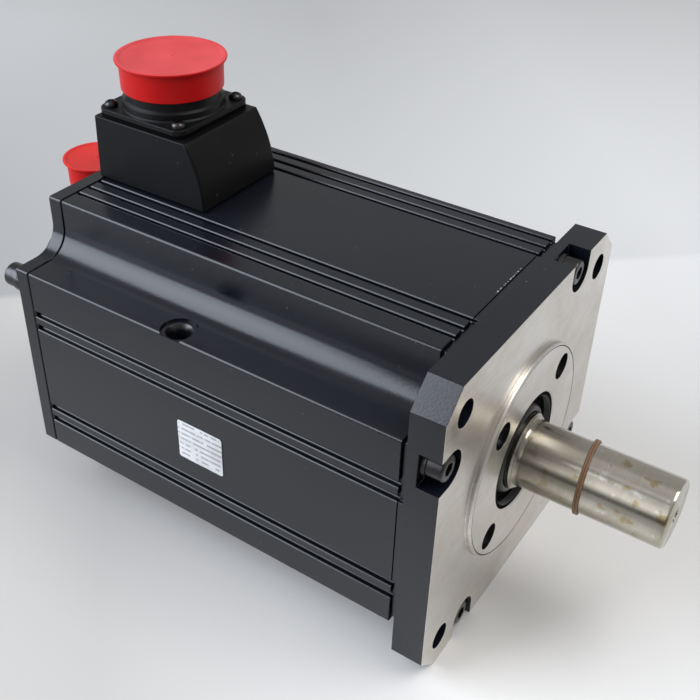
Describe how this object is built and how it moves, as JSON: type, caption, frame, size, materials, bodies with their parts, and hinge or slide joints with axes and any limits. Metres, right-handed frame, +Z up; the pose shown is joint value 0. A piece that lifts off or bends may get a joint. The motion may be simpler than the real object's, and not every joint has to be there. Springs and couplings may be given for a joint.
{
  "type": "servo motor",
  "caption": "Square-flanged electric servo motor with a plain shaft, ribbed black body, top power connector and rear encoder connector under push-on caps.",
  "frame": {"origin": "middle of the bounding box's underside, below the shaft's axis", "axes": "+X along the shaft, out of the shaft end; +Z up, towards the terminal box; +Y to the right of the terminal box seen from behind"},
  "size_m": [0.3774, 0.176, 0.2412],
  "materials": {
    "black_paint": "satin black paint",
    "bare_steel": "machined",
    "shaft_steel": "ground and oiled",
    "black_oxide": "black oxide",
    "black_plastic": "matt black",
    "red_plastic": "soft red",
    "black_rubber": "matt black",
    "brown_rubber": "matt brown",
    "white_label": "plain white film",
    "copper": "varnished copper winding",
    "core_steel": "stacked sheet steel",
    "magnet": "plated magnet",
    "brass": "plated contact",
    "circuit_board": "green board"
  },
  "bodies": {
    "housing": {"front_bracket": "black_paint", "flange_screw_1": "black_oxide", "flange_screw_2": "black_oxide", "flange_screw_3": "black_oxide", "flange_screw_4": "black_oxide", "retainer_screw_1": "black_oxide", "retainer_screw_2": "black_oxide", "retainer_screw_3": "black_oxide", "retainer_screw_4": "black_oxide", "bearing_retainer": "bare_steel", "oil_seal": "black_rubber", "front_bearing_outer_ring": "bare_steel", "rear_bearing_outer_ring": "bare_steel", "bearing_preload_spring": "bare_steel", "stator_frame": "black_paint", "stator_core": "core_steel", "stator_winding": "copper", "rear_bracket": "black_paint", "rear_bolt_1": "black_oxide", "rear_bolt_2": "black_oxide", "rear_bolt_3": "black_oxide", "rear_bolt_4": "black_oxide", "encoder_board": "circuit_board", "encoder_cover": "black_paint", "cover_screw_1": "black_oxide", "cover_screw_2": "black_oxide", "cover_screw_3": "black_oxide", "cover_screw_4": "black_oxide", "terminal_box": "black_paint", "power_gasket": "black_rubber", "power_connector_shell": "black_plastic", "power_insert": "black_plastic", "power_pin_1": "brass", "power_pin_2": "brass", "power_pin_3": "brass", "power_pin_4": "brass", "connector_screw_1": "black_oxide", "connector_screw_2": "black_oxide", "connector_screw_3": "black_oxide", "connector_screw_4": "black_oxide", "encoder_connector_shell": "black_plastic", "encoder_insert": "black_plastic", "rating_plate": "white_label"},
    "rotor": {"rotor_shaft": "shaft_steel", "rotor_core": "core_steel", "magnet_ring": "magnet", "front_bearing_inner_ring": "bare_steel", "rear_bearing_inner_ring": "bare_steel", "encoder_disc": "bare_steel", "shaft_band": "brown_rubber"},
    "front_ball_set": {"front_bearing_cage": "bare_steel"},
    "rear_ball_set": {"rear_bearing_cage": "bare_steel"},
    "power_cover": {"power_cap": "red_plastic"},
    "encoder_plug_cover": {"encoder_cap": "red_plastic"}
  },
  "joints": [
    {"name": "rotor_spin", "type": "hinge", "parent": "housing", "child": "rotor", "pos_m": [0.1097, 0, 0.088], "axis": [1, 0, 0], "continuous": true},
    {"name": "front_ball_set_spin", "type": "hinge", "parent": "housing", "child": "front_ball_set", "pos_m": [0.0874, 0, 0.088], "axis": [1, 0, 0], "continuous": true},
    {"name": "rear_ball_set_spin", "type": "hinge", "parent": "housing", "child": "rear_ball_set", "pos_m": [-0.1328, 0, 0.088], "axis": [1, 0, 0], "continuous": true},
    {"name": "power_cap_lift", "type": "slide", "parent": "housing", "child": "power_cover", "axis": [0, 0, 1], "range_m": [0, 0.05]},
    {"name": "encoder_cap_lift", "type": "slide", "parent": "housing", "child": "encoder_plug_cover", "axis": [0, 0, 1], "range_m": [0, 0.05]}
  ],
  "couplings": [
    {"joint": "front_ball_set_spin", "follows": "rotor_spin", "ratio": 0.4005},
    {"joint": "rear_ball_set_spin", "follows": "rotor_spin", "ratio": 0.3974}
  ]
}
